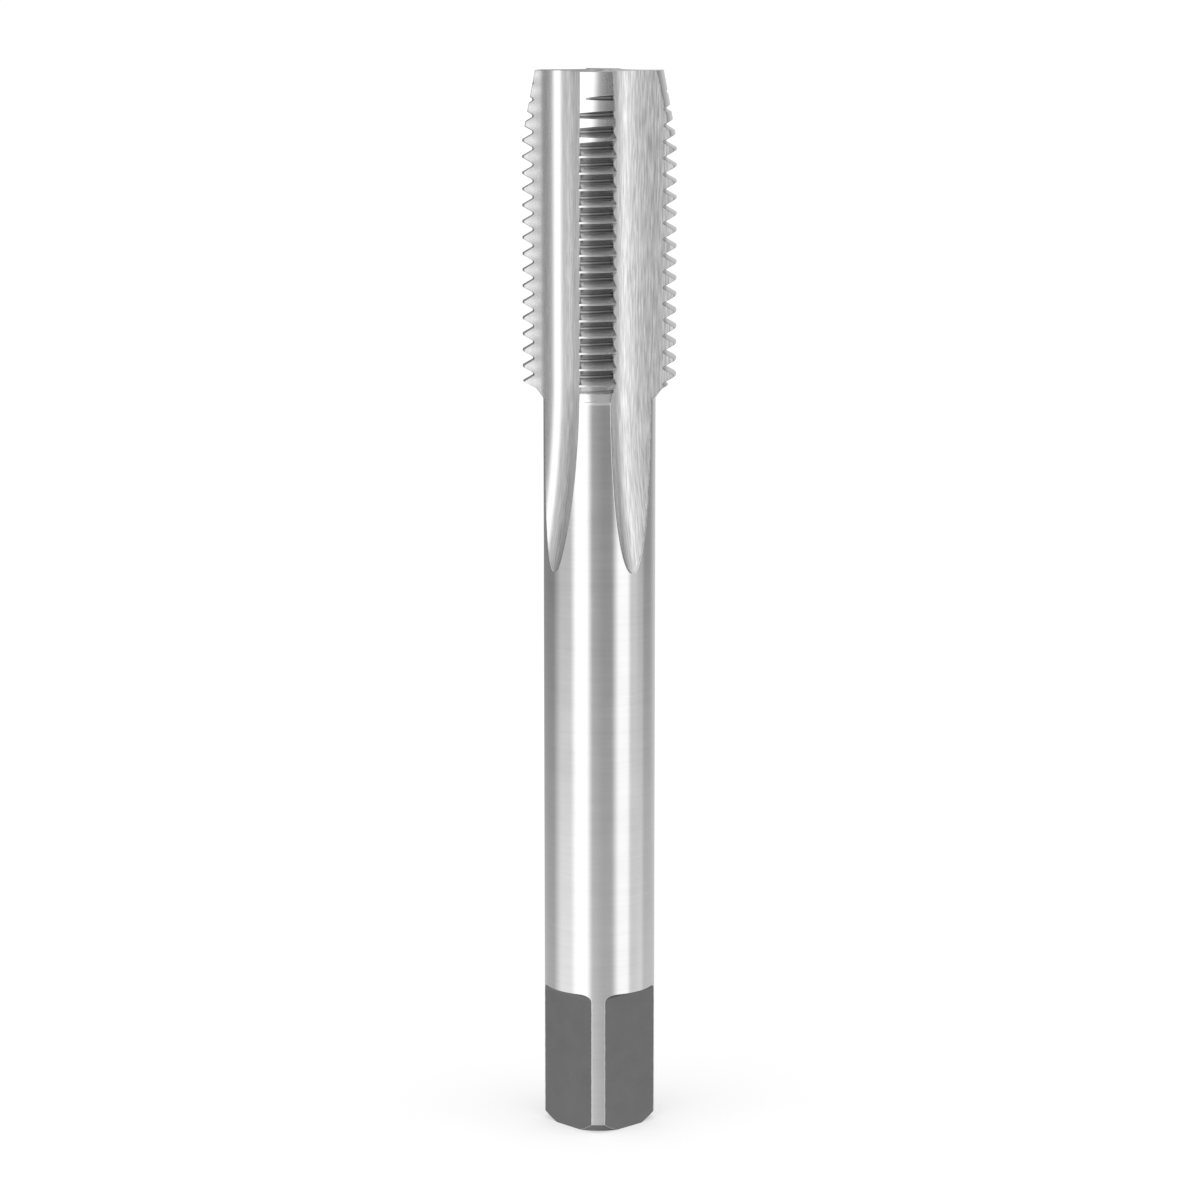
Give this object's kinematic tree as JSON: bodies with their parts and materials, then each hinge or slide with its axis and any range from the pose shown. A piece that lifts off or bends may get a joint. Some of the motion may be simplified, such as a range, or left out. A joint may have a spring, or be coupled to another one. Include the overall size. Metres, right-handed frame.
{
  "type": "thread tap",
  "caption": "Straight-flute hand tap: fine-pitch ground thread with a tapered lead, neck cone, round shank and square drive end.",
  "frame": {"origin": "centre of the square end's face", "axes": "+Z along the axis from the square end to the cutting tip; the middle of the first land and a corner of the square are on +X"},
  "size_m": [0.012, 0.012, 0.084],
  "materials": {
    "tool_steel": "ground bright, with a dark heat-treatment scale on the square's flats and both end faces"
  },
  "bodies": {
    "root": {"thread_tap": "tool_steel"}
  },
  "joints": []
}
